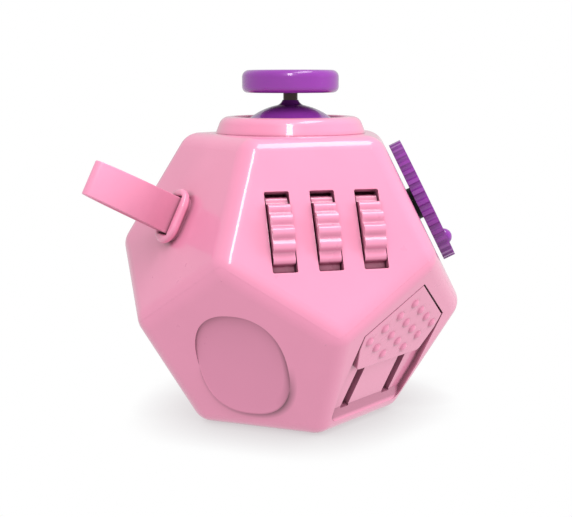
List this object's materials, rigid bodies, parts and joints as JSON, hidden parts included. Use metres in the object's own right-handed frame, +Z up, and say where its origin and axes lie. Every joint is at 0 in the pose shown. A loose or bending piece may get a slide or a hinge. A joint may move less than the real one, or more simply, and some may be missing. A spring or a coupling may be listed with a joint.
{
  "type": "fidget cube",
  "caption": "Palm-size rounded dodecahedron fidget toy: joystick, rollers, dial, slider, thumb dish, clickers, spinner and a strap loop.",
  "frame": {"origin": "middle of the flat face the toy rests on", "axes": "+Z up through the joystick; -Y looks at the face with the three rollers; +X to the right of that face"},
  "size_m": [0.0602, 0.0541, 0.0542],
  "materials": {
    "shell_pink": "moulded ABS, glossy",
    "part_pink": "moulded ABS, satin gloss",
    "part_purple": "moulded ABS, glossy",
    "dome_purple": "moulded ABS, glossy",
    "dark_plastic": "moulded acetal, matt",
    "steel": "ground steel",
    "spring_steel": "spring wire and strip",
    "screw_zinc": "zinc plated",
    "silicone_pink": "soft silicone, satin",
    "silicone_purple": "soft silicone, matt"
  },
  "bodies": {
    "case": {"upper_shell": "shell_pink", "lower_shell": "shell_pink", "closing_screws": "screw_zinc", "case_screws": "screw_zinc", "joystick_collar": "shell_pink", "joystick_base": "dark_plastic", "joystick_spring": "spring_steel", "roller_axle": "steel", "dial_click_spring": "spring_steel", "strap_grommet": "shell_pink", "strap_pin": "steel", "strap_root": "silicone_pink", "rocker_frame": "part_pink", "rocker_pin": "steel", "rocker_snap_spring": "spring_steel", "button_dome_sheet": "silicone_purple", "button_backplate": "dark_plastic", "ball_end_cap": "dark_plastic", "ball_spring": "spring_steel", "bearing_inner_ring": "steel", "spinner_post": "dark_plastic", "spinner_cap": "part_pink", "knob_click_spring": "spring_steel", "nub_pad": "silicone_purple"},
    "joystick_gimbal": {"gimbal_ring": "dark_plastic", "gimbal_pins": "steel"},
    "joystick": {"thumb_disc": "part_purple", "joystick_stem": "steel", "joystick_dome": "dome_purple", "joystick_hub": "dark_plastic", "hub_pins": "steel"},
    "left_roller": {"left_roller": "part_pink"},
    "middle_roller": {"middle_roller": "part_pink"},
    "right_roller": {"right_roller": "part_pink"},
    "dial": {"dial_disc": "part_purple", "dial_hub": "dark_plastic", "dial_ratchet": "dark_plastic", "dial_screw": "screw_zinc"},
    "strap": {"strap_loop": "silicone_pink"},
    "slider": {"slider_pad": "part_pink", "slider_keeper": "dark_plastic"},
    "rocker": {"rocker_paddle": "part_purple"},
    "push_button_1": {"push_button_1": "part_purple"},
    "push_button_2": {"push_button_2": "part_purple"},
    "push_button_3": {"push_button_3": "part_purple"},
    "push_button_4": {"push_button_4": "part_purple"},
    "push_button_5": {"push_button_5": "part_purple"},
    "ball_cup": {"ball_cup": "dark_plastic"},
    "ball": {"rolling_ball": "part_purple"},
    "spinner": {"spinner_disc": "part_purple", "bearing_outer_ring": "steel"},
    "bearing_cage": {"bearing_cage": "dark_plastic", "bearing_balls": "steel"},
    "knob": {"twist_knob": "part_purple", "knob_ratchet": "dark_plastic", "knob_screw": "screw_zinc"}
  },
  "joints": [
    {"name": "joystick_tilt_x", "type": "hinge", "parent": "case", "child": "joystick_gimbal", "pos_m": [0, 0, 0.03864], "axis": [1, 0, 0], "range_deg": [-14, 14], "stiffness_Nm_per_rad": 0.02, "deforming": ["joystick_spring"]},
    {"name": "joystick_tilt_y", "type": "hinge", "parent": "joystick_gimbal", "child": "joystick", "pos_m": [0, 0, 0.03864], "axis": [0, 1, 0], "range_deg": [-14, 14], "stiffness_Nm_per_rad": 0.02, "deforming": ["joystick_spring"]},
    {"name": "left_roller_spin", "type": "hinge", "parent": "case", "child": "left_roller", "pos_m": [-0.0067, -0.01554, 0.02937], "axis": [1, 0, 0], "continuous": true},
    {"name": "middle_roller_spin", "type": "hinge", "parent": "case", "child": "middle_roller", "pos_m": [0, -0.01554, 0.02937], "axis": [1, 0, 0], "continuous": true},
    {"name": "right_roller_spin", "type": "hinge", "parent": "case", "child": "right_roller", "pos_m": [0.0067, -0.01554, 0.02937], "axis": [1, 0, 0], "continuous": true},
    {"name": "dial_spin", "type": "hinge", "parent": "case", "child": "dial", "pos_m": [0.01843, -0.00599, 0.0333], "axis": [0.8507, -0.2764, 0.4472], "continuous": true, "deforming": ["dial_click_spring"]},
    {"name": "strap_swing", "type": "hinge", "parent": "case", "child": "strap", "pos_m": [-0.0215, -0.00698, 0.03357], "axis": [0.4253, 0.1382, 0.8944], "range_deg": [-60, 60], "deforming": ["strap_root"]},
    {"name": "slider_travel", "type": "slide", "parent": "case", "child": "slider", "axis": [-0.2629, 0.3618, -0.8944], "range_m": [0, 0.0076], "stiffness_N_per_m": 2, "springref_m": -0.002},
    {"name": "rocker_tilt", "type": "hinge", "parent": "case", "child": "rocker", "pos_m": [0.01087, 0.01496, 0.03151], "axis": [-0.809, 0.5878, 0], "range_deg": [-20, 0], "deforming": ["rocker_snap_spring"]},
    {"name": "push_button_1_press", "type": "slide", "parent": "case", "child": "push_button_1", "axis": [0.5257, -0.7236, -0.4472], "range_m": [0, 0.001], "stiffness_N_per_m": 30, "springref_m": -0.001, "deforming": ["button_dome_sheet"]},
    {"name": "push_button_2_press", "type": "slide", "parent": "case", "child": "push_button_2", "axis": [0.5257, -0.7236, -0.4472], "range_m": [0, 0.001], "stiffness_N_per_m": 30, "springref_m": -0.001, "deforming": ["button_dome_sheet"]},
    {"name": "push_button_3_press", "type": "slide", "parent": "case", "child": "push_button_3", "axis": [0.5257, -0.7236, -0.4472], "range_m": [0, 0.001], "stiffness_N_per_m": 30, "springref_m": -0.001, "deforming": ["button_dome_sheet"]},
    {"name": "push_button_4_press", "type": "slide", "parent": "case", "child": "push_button_4", "axis": [0.5257, -0.7236, -0.4472], "range_m": [0, 0.001], "stiffness_N_per_m": 30, "springref_m": -0.001, "deforming": ["button_dome_sheet"]},
    {"name": "push_button_5_press", "type": "slide", "parent": "case", "child": "push_button_5", "axis": [0.5257, -0.7236, -0.4472], "range_m": [0, 0.001], "stiffness_N_per_m": 30, "springref_m": -0.001, "deforming": ["button_dome_sheet"]},
    {"name": "ball_press", "type": "slide", "parent": "case", "child": "ball_cup", "axis": [0.8507, -0.2764, 0.4472], "range_m": [0, 0.001], "stiffness_N_per_m": 200, "springref_m": -0.001, "deforming": ["ball_spring"]},
    {"name": "ball_roll", "type": "hinge", "parent": "ball_cup", "child": "ball", "pos_m": [-0.01673, 0.00544, 0.01347], "axis": [-0.309, -0.9511, 0], "continuous": true},
    {"name": "spinner_spin", "type": "hinge", "parent": "case", "child": "spinner", "pos_m": [0, 0.02198, 0.01128], "axis": [0, 0.8944, -0.4472], "continuous": true},
    {"name": "bearing_cage_spin", "type": "hinge", "parent": "case", "child": "bearing_cage", "pos_m": [0, 0.02198, 0.01128], "axis": [0, 0.8944, -0.4472], "continuous": true},
    {"name": "knob_spin", "type": "hinge", "parent": "case", "child": "knob", "pos_m": [0.01894, 0.00616, 0.01231], "axis": [0.8507, 0.2764, -0.4472], "continuous": true, "deforming": ["knob_click_spring"]}
  ],
  "couplings": [
    {"joint": "bearing_cage_spin", "follows": "spinner_spin", "ratio": 0.58696}
  ]
}
